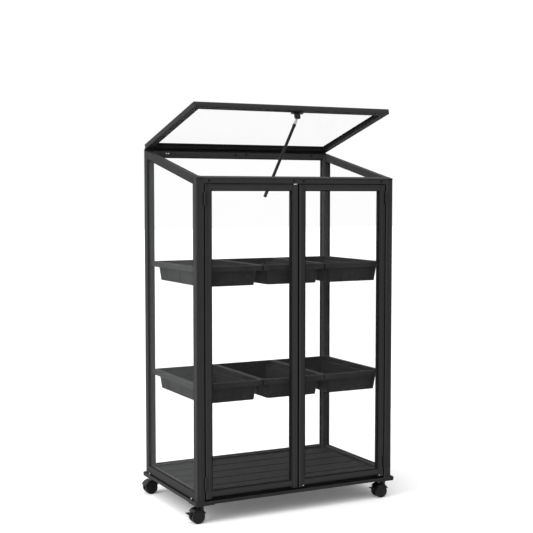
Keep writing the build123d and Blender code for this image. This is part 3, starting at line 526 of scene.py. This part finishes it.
header_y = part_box("front_header")[0].y
rear_rail_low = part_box("rear_top_rail")[0]
post_low, post_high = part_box("front_left_post")
catch_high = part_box("door_catches")[1]
header_mid = catch_high.z + HEADER_SCREW_RISE
catch_mid = catch_high.x - CATCH_SCREW_INSET
rail_mid = rear_rail_low.z + REAR_SCREW_HEIGHT
header_screws = (HEADER_SCREW_LEFT, -catch_mid, catch_mid, HEADER_SCREW_RIGHT)
front_spots = [((x, header_y, header_mid), FRONT) for x in header_screws]
front_spots += [((x, rear_rail_low.y, rail_mid), FRONT) for x in REAR_SCREWS]
front_side = (post_high.y - POST_SCREW_FRONT, header_mid)
back_side = (post_high.y + POST_SCREW_BACK, header_mid + POST_SCREW_RISE)
dark_spots = []
for y, z in (front_side, back_side):
    dark_spots += [((post_low.x, y, z), LEFT), ((-post_low.x, y, z), RIGHT)]
hinge_screw_y, hinge_screw_z = hinge_low.y + HINGE_SCREW_DEPTH, hinge_low.z + HINGE_SCREW_HEIGHT
for step in range(-4, 5):
    dark_spots.append(((HINGE_SCREW_PITCH * step, hinge_screw_y, hinge_screw_z), BACK))
for row in range(SLATS):
    slat_y = joint_start + slat_pitch * (row + 0.5)
    dark_spots += [((x, slat_y, slats_high.z), UP) for x in SLAT_SCREWS]
bright_spots = [((x, rear_rail_low.y, rail_mid), FRONT) for x in REAR_ZINC_SCREWS]
lid_spots = []
for x in (-LID_SCREW_X, LID_SCREW_X):
    for reach in (LID_SCREW_REAR, lid_reach - LID_SCREW_FRONT):
        lid_spots.append((on_lid(x, reach), under_lid))
bracket_reach = lid_reach - BRACKET_SCREW_REACH
bracket_spots = [(on_lid(x, bracket_reach, BRACKET_FLANGE), under_lid) for x in BRACKET_SCREWS]

small_screw = socket_screw(SMALL_SCREW)
foot_screw = socket_screw(FOOT_SCREW)
front_screw = socket_screw(FRONT_SCREW)
flat_screw = socket_screw(SMALL_SCREW)
pick(flat_screw)
bpy.ops.transform.resize(value=FLAT_SCREW)
bpy.ops.object.transform_apply()
place_copies(small_screw, "frame_screws", "frame", dark_spots, screw_black)
place_last(front_screw, "frame_front_screws", "frame", front_spots, seal_and_shade_black)
place_copies(small_screw, "frame_zinc_screws", "frame", bright_spots, zinc)
place_last(flat_screw, "lid_screws", "lid", lid_spots, screw_black)
place_last(small_screw, "stay_bracket_screws", "lid", bracket_spots, screw_black)
# The two doors' foot screws are the same steel: the right door's are zinc, and the left door's get a
# near-black finish that paints the shade on them
for door, finish in zip(DOORS, (pin_steel, zinc)):
    low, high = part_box(door + "_stiles")
    spots = []
    for x in (low.x + FOOT_SCREW_INSET, high.x - FOOT_SCREW_INSET):
        spots.append(((x, low.y, low.z + FOOT_SCREW_HEIGHT), FRONT))
    place_copies(foot_screw, door + "_screws", door, spots, finish)
bpy.data.objects.remove(foot_screw)


# Castor trim: hub caps on the wheels and ribs on the brake pedals
CAP_HEIGHT = 0.0008
CAP_GROOVE = 0.0004
CAP_EDGE = 0.0002
WHEEL_CAP = 0.0054
PEDAL_RIB = (0.0012, 0.021, 0.0009)
PEDAL_RIB_EDGE = 0.0003
PEDAL_RIB_SUNK = 0.0004
PEDAL_RIB_REACHES = (0.0028, 0.0052, 0.0076)


def hub_cap(radius):
    """Low domed cap with a ring groove, standing on the origin"""
    cap = standing_cylinder(radius, CAP_HEIGHT, 32)
    bpy.ops.object.mode_set(mode="EDIT")
    select_faces(cap, lambda face: face.normal.z > 0.9)
    bpy.ops.mesh.inset(thickness=radius * 0.2)
    extrude((0, 0, -CAP_GROOVE))
    bpy.ops.mesh.inset(thickness=radius * 0.12)
    extrude((0, 0, CAP_HEIGHT))
    bpy.ops.object.mode_set(mode="OBJECT")
    soften(cap, CAP_EDGE)
    return cap


wheel_cap = hub_cap(WHEEL_CAP)
for corner in CORNERS:
    for wheel in ("front_wheel", "back_wheel"):
        body = f"{corner}_castor_{wheel}"
        low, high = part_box(body)
        middle = (low + high) / 2
        if wheel == "front_wheel":
            spot = ((middle.x, low.y, middle.z), FRONT)
        else:
            spot = ((middle.x, high.y, middle.z), BACK)
        place_copies(wheel_cap, body + "_cap", body, [spot], castor_black)
bpy.data.objects.remove(wheel_cap)
pedal_rib = rounded_block(PEDAL_RIB, PEDAL_RIB_EDGE)
for corner in CORNERS[:2]:
    body = f"{corner}_castor_brake_pedal"
    low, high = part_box(body)
    rib_y, rib_z = (low.y + high.y) / 2, high.z - PEDAL_RIB_SUNK
    spots = [((low.x + reach, rib_y, rib_z), UP) for reach in PEDAL_RIB_REACHES]
    place_copies(pedal_rib, body + "_ribs", body, spots, castor_black)
bpy.data.objects.remove(pedal_rib)


# Rubber strip on the left door's meeting edge, and steel plates that the catches pull on
MEETING_BASE, MEETING_DEPTH, MEETING_MIDDLE, MEETING_END = 0.0008, 0.011, 0.008, 0.002
MEETING_LIP, MEETING_LIP_INSET = 0.0026, 0.0036
MEETING_BASE_EDGE, MEETING_LIP_EDGE = 0.0001, 0.0005
STRIKE_PLATE = (0.0035, 0.006, 0.0008)
PLATE_SIDE, PLATE_BACK, PLATE_EDGE = 0.002, 0.010, 0.0002
stile_low, stile_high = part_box("left_door_stiles")
strip_size = (MEETING_BASE, MEETING_DEPTH, stile_high.z - stile_low.z - 2 * MEETING_END)
strip_x, strip_y = stile_high.x + MEETING_BASE / 2, stile_low.y + MEETING_MIDDLE
strip_place = (strip_x, strip_y, (stile_low.z + stile_high.z) / 2)
meeting_strip = rounded_block(strip_size, MEETING_BASE_EDGE, strip_place)
bpy.ops.object.mode_set(mode="EDIT")
select_faces(meeting_strip, lambda face: face.normal.x > 0.9 and face.calc_area() > 0.001)
bpy.ops.mesh.inset(thickness=MEETING_LIP_INSET)
extrude((MEETING_LIP, 0, 0))
bpy.ops.object.mode_set(mode="OBJECT")
soften(meeting_strip, MEETING_LIP_EDGE)
dress(meeting_strip, "left_door_meeting_strip", "left_door", seal_and_shade_black)
for door, side, finish in zip(DOORS, (-1, 1), (rod_steel, pin_steel)):
    low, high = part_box(door + "_stiles")
    plate_x = side * (PLATE_SIDE - stile_high.x)
    plate_place = (plate_x, low.y + PLATE_BACK, high.z + STRIKE_PLATE[2] / 2)
    plate = rounded_block(STRIKE_PLATE, PLATE_EDGE, plate_place)
    dress(plate, door + "_strike_plate", door, finish)


# Black strips that paint the shade in the gaps round the doors, with breaks at the hinges, and black pieces
# beside the hinge barrels that paint the shade in the crevices there
HINGE_LENGTH = 0.044
HINGE_BREAK = 0.0015
STRIP = 0.0008
STRIP_DEPTH = 0.0125
STRIP_INSET = 0.0008
STRIP_END = 0.002
STRIP_EDGE = 0.0002
CREVICE_SHADE = (0.0035, 0.0005, HINGE_LENGTH)
CREVICE_SHADE_MIDDLE = 0.00225
CREVICE_SHADE_EDGE = 0.0001


def joined_blocks(name, body, places, edge):
    """Black blocks of (size, place) that paint shade, joined into one piece of a body"""
    blocks = [rounded_block(size, edge, place) for size, place in places]
    dress(joined(blocks), name, body, gap_shade_black)


def gap_shade_strips(name, body, x, front, spans):
    """Flat strips of painted shade on an upright face, over (low, high) heights"""
    places = []
    for low, high in spans:
        size = (STRIP, STRIP_DEPTH, high - low)
        places.append((size, (x, front + STRIP_INSET + STRIP_DEPTH / 2, (low + high) / 2)))
    joined_blocks(name, body, places, STRIP_EDGE)


for door, post, side in zip(DOORS, POSTS, (-1, 1)):
    low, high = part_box(door + "_stiles")
    leaf_low, leaf_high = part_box(door + "_hinge_leaves")
    door_face = side * max(abs(low.x), abs(high.x))
    post_face = side * min(abs(corner.x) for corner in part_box(post))
    spans = [
        (low.z + STRIP_END, leaf_low.z - HINGE_BREAK),
        (leaf_low.z + HINGE_LENGTH + HINGE_BREAK, leaf_high.z - HINGE_LENGTH - HINGE_BREAK),
        (leaf_high.z + HINGE_BREAK, high.z - STRIP_END),
    ]
    gap_shade_strips(door + "_hinge_strips", door, door_face + side * STRIP / 2, low.y, spans)
    gap_shade_strips(post + "_strips", "frame", post_face - side * STRIP / 2, low.y, spans)
    hinge_middles = (leaf_low.z + HINGE_LENGTH / 2, leaf_high.z - HINGE_LENGTH / 2)
    # Painted shade in the crevices beside the hinge barrels
    crevice_shade_y = low.y - CREVICE_SHADE[1] / 2
    door_crevice_shades = [(CREVICE_SHADE, (door_face - side * CREVICE_SHADE_MIDDLE, crevice_shade_y, z)) for z in hinge_middles]
    post_crevice_shades = [(CREVICE_SHADE, (post_face + side * CREVICE_SHADE_MIDDLE, crevice_shade_y, z)) for z in hinge_middles]
    joined_blocks(door + "_hinge_crevice_shades", door, door_crevice_shades, CREVICE_SHADE_EDGE)
    joined_blocks(post + "_hinge_crevice_shades", "frame", post_crevice_shades, CREVICE_SHADE_EDGE)
low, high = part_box("right_door_stiles")
full_height = [(low.z + STRIP_END, high.z - STRIP_END)]
# Painted shade in the gap between the doors, on the right door's meeting edge
gap_shade_strips("right_door_meeting_gap_shade", "right_door", low.x - STRIP / 2, low.y, full_height)


# Black pieces that paint the shade in the joints where neighbouring trays meet, on the rims and at the
# front and back corners
TRAY_SKIRT = 0.020
TRAY_LIP = 0.0024
TRAY_JOINT_SHADE = 0.0016
TRAY_JOINT_SHADE_HEIGHT = 0.002
TRAY_JOINT_SHADE_END = 0.0005
TRAY_JOINT_SHADE_EDGE = 0.0001
CORNER_SHADE_PROUD = 0.0005
CORNER_SHADE_HEIGHT = 0.0185
for level in LEVELS:
    for place in ("middle", "right"):
        tray = f"{level}_{place}_tray"
        low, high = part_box(tray)
        joint_shade_x = low.x - TRAY_JOINT_SHADE / 2
        joint_shade_size = (TRAY_JOINT_SHADE, high.y - low.y - 2 * TRAY_JOINT_SHADE_END, TRAY_JOINT_SHADE_HEIGHT)
        places = [(joint_shade_size, (joint_shade_x, (low.y + high.y) / 2, high.z - TRAY_LIP / 2))]
        corner_shade_z = high.z - TRAY_SKIRT / 2
        for corner_y, way in ((low.y, -1), (high.y, 1)):
            inner_y = corner_y - way * TRAY_LIP / 2
            outer_y = corner_y + way * CORNER_SHADE_PROUD / 2
            places.append(((TRAY_JOINT_SHADE, TRAY_LIP, CORNER_SHADE_HEIGHT), (joint_shade_x, inner_y, corner_shade_z)))
            places.append(((2 * TRAY_JOINT_SHADE, CORNER_SHADE_PROUD, CORNER_SHADE_HEIGHT), (low.x, outer_y, corner_shade_z)))
        # Painted shade in the joint between this tray and its neighbour
        joined_blocks(tray + "_joint_shade", nodes[tray]["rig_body"], places, TRAY_JOINT_SHADE_EDGE)


# Black linings on the inner faces of the door frames and the lid frame, behind the panes, that paint the
# shade on those faces
SHADE_LINING = 0.0008
SHADE_LINING_EDGE = 0.0002
SHADE_LINING_CLEARANCE = 0.0003
LID_SHADE_LINING_HEIGHT = 0.010
LID_RAIL = 0.026
LID_REAR_GAP = 0.007


def shade_lining_sleeve(size, open_axis):
    """Thin rectangular sleeve of painted shade, of a size round the origin, open along one axis"""
    sleeve = sized_block(size)
    bpy.ops.object.mode_set(mode="EDIT")
    select_faces(sleeve, lambda face: abs(face.normal[open_axis]) > 0.9)
    bpy.ops.mesh.delete(type="FACE")
    bpy.ops.object.mode_set(mode="OBJECT")
    finish_modifier(sleeve, "SOLIDIFY", thickness=SHADE_LINING, offset=-1.0)
    soften(sleeve, SHADE_LINING_EDGE)
    return sleeve


# Painted shade on the inner faces of each door frame
for door in DOORS:
    pane_low, pane_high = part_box(door + "_pane")
    stile_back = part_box(door + "_stiles")[1].y
    front = pane_high.y + SEAL_PROUD + SHADE_LINING_CLEARANCE
    width = pane_high.x - pane_low.x - 2 * pane_bite
    height = pane_high.z - pane_low.z - 2 * pane_bite
    shade_lining = shade_lining_sleeve((width, stile_back - front, height), 1)
    middle = (pane_low + pane_high) / 2
    shade_lining.location = (middle.x, (front + stile_back) / 2, middle.z)
    pick(shade_lining)
    bpy.ops.object.transform_apply()
    dress(shade_lining, door + "_shade_lining", door, seal_and_shade_black)

# Painted shade on the inner faces of the lid frame
lid_pane_low, lid_pane_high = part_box("lid_pane")
shade_lining_reach = lid_reach - 2 * LID_RAIL - LID_REAR_GAP
shade_lining_width = lid_pane_high.x - lid_pane_low.x - 2 * pane_bite
shade_lining_rise = SHADE_LINING_CLEARANCE + LID_SHADE_LINING_HEIGHT / 2
shade_lining_middle = on_lid(0, LID_REAR_GAP + LID_RAIL + shade_lining_reach / 2, -shade_lining_rise)
shade_lining = shade_lining_sleeve((shade_lining_width, shade_lining_reach, LID_SHADE_LINING_HEIGHT), 2)
place_last(shade_lining, "lid_shade_lining", "lid", [(shade_lining_middle, under_lid)], seal_and_shade_black)


# Lid stay: sleeves round the rod, its eye and the tube's end
STAY_LEAN = math.radians(24.9)
COLLAR_RADIUS, COLLAR_LENGTH, COLLAR_START = 0.0064, 0.009, 0.027
FERRULE_RADIUS, FERRULE_LENGTH, FERRULE_START = 0.0053, 0.0165, 0.0105
EYE_RADIUS, EYE_HALF_WIDTH = 0.005, 0.0065
EYE_COVER_RADIUS, EYE_COVER_LENGTH = 0.0055, 0.0128
TUBE_RADIUS = 0.0055
FOOT_LENGTH = 0.042
FOOT_WALL = 0.0004
SLEEVE_EDGE = 0.0008
stay_line = Vector((-math.sin(STAY_LEAN), 0, -math.cos(STAY_LEAN)))
rod_low, rod_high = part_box("stay_rod")
pivot_x, pivot_z = rod_high.x - EYE_HALF_WIDTH, rod_high.z - EYE_RADIUS
stay_pivot = Vector((pivot_x, (rod_low.y + rod_high.y) / 2, pivot_z))
tube_fall = stay_pivot.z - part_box("stay_tube")[0].z
tube_end = (tube_fall - TUBE_RADIUS * math.sin(STAY_LEAN)) / math.cos(STAY_LEAN)


def sleeve_ring(radius, length):
    """Rounded sleeve, standing on the origin along Z"""
    ring = standing_cylinder(radius, length, 32)
    bpy.ops.object.mode_set(mode="EDIT")
    select_faces(ring, lambda face: abs(face.normal.z) > 0.9)
    bpy.ops.mesh.inset(thickness=radius * 0.12)
    bpy.ops.object.mode_set(mode="OBJECT")
    soften(ring, SLEEVE_EDGE, 3)
    return ring


def along_stay(distance):
    """Spot on the stay, at a distance below its pivot"""
    return [(stay_pivot + stay_line * distance, stay_line)]


collar = sleeve_ring(COLLAR_RADIUS, COLLAR_LENGTH)
place_last(collar, "stay_collar", "stay", along_stay(COLLAR_START), castor_black)
ferrule = sleeve_ring(FERRULE_RADIUS, FERRULE_LENGTH)
place_last(ferrule, "stay_ferrule", "stay", along_stay(FERRULE_START), ferrule_steel)
foot = sleeve_ring(TUBE_RADIUS + FOOT_WALL, FOOT_LENGTH)
foot_start = tube_end - FOOT_LENGTH + FOOT_WALL
place_last(foot, "stay_foot", "stay", along_stay(foot_start), foot_grey)
eye_cover = sleeve_ring(EYE_COVER_RADIUS, EYE_COVER_LENGTH)
eye_start = stay_pivot - Vector((EYE_COVER_LENGTH / 2, 0, 0))
place_last(eye_cover, "stay_eye_cover", "stay", [(eye_start, RIGHT)], castor_black)


# Block between the ears of the stay's bracket, and the bracket's foot plate past the lid's front rail
CLEVIS_FILL = (0.0144, 0.0084, 0.0112)
CLEVIS_REACH, CLEVIS_DROP = 0.020, 0.0077
FOOT_PLATE = (0.046, 0.013, 0.0028)
FOOT_PLATE_SIDE, FOOT_PLATE_REACH, FOOT_PLATE_GAP = 0.007, 0.0297, 0.0001
BRACKET_EDGE = 0.0004
clevis_fill = rounded_block(CLEVIS_FILL, BRACKET_EDGE)
fill_place = on_lid(stay_pivot.x, lid_reach - CLEVIS_REACH, CLEVIS_DROP)
place_last(clevis_fill, "stay_bracket_fill", "lid", [(fill_place, under_lid)], castor_black)
bracket_low, bracket_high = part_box("stay_bracket")
foot_plate = rounded_block(FOOT_PLATE, BRACKET_EDGE)
foot_x = (bracket_low.x + bracket_high.x) / 2 + FOOT_PLATE_SIDE
foot_place = on_lid(foot_x, lid_reach - FOOT_PLATE_REACH, FOOT_PLATE[2] / 2 + FOOT_PLATE_GAP)
place_last(foot_plate, "stay_bracket_plate", "lid", [(foot_place, under_lid)], castor_black)


# Zinc studs that stand on the base angles beside the bottom rails
BASE_LIP = 0.008
STUD_RADIUS, STUD_HEIGHT = 0.0026, 0.0135
STUD_INSET, STUD_Y = 0.0065, 0.2
base_low, base_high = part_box("base_angles")
stud_spots = []
for x in (base_low.x + STUD_INSET, base_high.x - STUD_INSET):
    stud_spots += [((x, y, base_high.z - BASE_LIP), UP) for y in (-STUD_Y, STUD_Y)]
stud = sleeve_ring(STUD_RADIUS, STUD_HEIGHT)
place_last(stud, "base_studs", "frame", stud_spots, zinc)


# Bright heads on the ends of the lid's hinge pin, and bolt heads on the lid's outer sides beside it
PIN_HEAD = 0.0034
BOLT_HEAD = 0.0042
BOLT_REACH, BOLT_RISE = 0.009, 0.007
pin_low, pin_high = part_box("hinge_pins")
spots = [((pin_low.x, hinge_y, hinge_z), LEFT), ((pin_high.x, hinge_y, hinge_z), RIGHT)]
place_last(hub_cap(PIN_HEAD), "lid_pin_heads", "frame", spots, zinc)
side_low, side_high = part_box("lid_side_rails")
spots = []
for x, facing in ((side_low.x, LEFT), (side_high.x, RIGHT)):
    spots.append((on_lid(x, BOLT_REACH, -BOLT_RISE), facing))
place_last(hub_cap(BOLT_HEAD), "lid_bolt_heads", "lid", spots, zinc)


# Studio: floor, light and camera
FLOOR_SIZE = 60
CAMERA_SPOT = (-1.957, -3.794, 1.151)
CAMERA_DOWN, CAMERA_TURN = math.radians(3.69), math.radians(-27.24)
CAMERA_LENS, CAMERA_SENSOR = 76.26, 36


def seen_directly(tree):
    """1 for what the camera, a mirroring surface or a clear pane shows, and 0 for light on surfaces"""
    path = tree.nodes.new("ShaderNodeLightPath")
    seen = path.outputs["Is Camera Ray"]
    for ray in ("Is Glossy Ray", "Is Transmission Ray"):
        seen = arithmetic(tree, "MAXIMUM", seen, path.outputs[ray])
    return seen


def studio_floor():
    """Wide white floor that throws little light back up"""
    clear_selection()
    bpy.ops.mesh.primitive_plane_add(size=FLOOR_SIZE, location=(0, 0, 0))
    floor = bpy.context.object
    floor.name = "studio_floor"
    finish, tree, shader = start_finish("studio_paper")
    seen = seen_directly(tree)
    paper = colour_range(tree, seen, grey(0.12), grey(0.97), 0.0, 1.0)
    tree.links.new(paper, shader.inputs["Base Color"])
    tree.links.new(value_range(tree, seen, 0.0, 0.125), shader.inputs["Emission Strength"])
    shader.inputs["Emission Color"].default_value = (1, 1, 1, 1)
    shader.inputs["Roughness"].default_value = 0.9
    shader.inputs["Specular IOR Level"].default_value = 0.0
    floor.data.materials.append(finish)


def studio_world():
    """White surroundings to look at, with light that falls mostly from above"""
    world = bpy.data.worlds.new("studio_world")
    bpy.context.scene.world = world
    world.use_nodes = True
    tree = world.node_tree
    shade = tree.nodes["Background"]
    shade.inputs["Color"].default_value = (1, 1, 1, 1)
    direction = tree.nodes.new("ShaderNodeTexCoord")
    split = tree.nodes.new("ShaderNodeSeparateXYZ")
    tree.links.new(direction.outputs["Generated"], split.inputs["Vector"])
    level = tree.nodes.new("ShaderNodeMix")
    tree.links.new(seen_directly(tree), level.inputs["Factor"])
    tree.links.new(value_range(tree, split.outputs["Z"], 0.3, 0.85), level.inputs["A"])
    level.inputs["B"].default_value = 1.0
    tree.links.new(level.outputs["Result"], shade.inputs["Strength"])


def soft_box(name, spot, aim, size, power):
    """Area lamp turned towards a point"""
    clear_selection()
    bpy.ops.object.light_add(type="AREA", location=spot)
    lamp = bpy.context.object
    lamp.name = name
    lamp.data.shape = "RECTANGLE"
    lamp.data.size, lamp.data.size_y = size
    lamp.data.energy = power
    lamp.rotation_euler = (Vector(aim) - Vector(spot)).to_track_quat("-Z", "Y").to_euler()


def soft_sun(name, direction, strength, spread):
    """Broad even light from one direction, with soft shadows"""
    clear_selection()
    bpy.ops.object.light_add(type="SUN", location=Vector(direction) * 2)
    lamp = bpy.context.object
    lamp.name = name
    lamp.data.energy = strength
    lamp.data.angle = math.radians(spread)
    lamp.rotation_euler = (-Vector(direction)).to_track_quat("-Z", "Y").to_euler()


def photo_camera():
    """Camera at the photograph's viewpoint"""
    clear_selection()
    bpy.ops.object.camera_add(location=CAMERA_SPOT)
    camera = bpy.context.object
    camera.name = "photo_camera"
    camera.rotation_euler = (math.radians(90) - CAMERA_DOWN, 0, CAMERA_TURN)
    camera.data.lens = CAMERA_LENS
    camera.data.sensor_width = CAMERA_SENSOR
    bpy.context.scene.camera = camera


studio_floor()
studio_world()
soft_sun("overhead_sun", direction=(-0.75, -0.4, 1.6), strength=1.9, spread=80)
soft_box("left_box", spot=(-3.6, -0.6, 2.0), aim=(0, 0, 0.7), size=(2.0, 2.6), power=60)
photo_camera()
bpy.context.scene.view_settings.view_transform = "Standard"
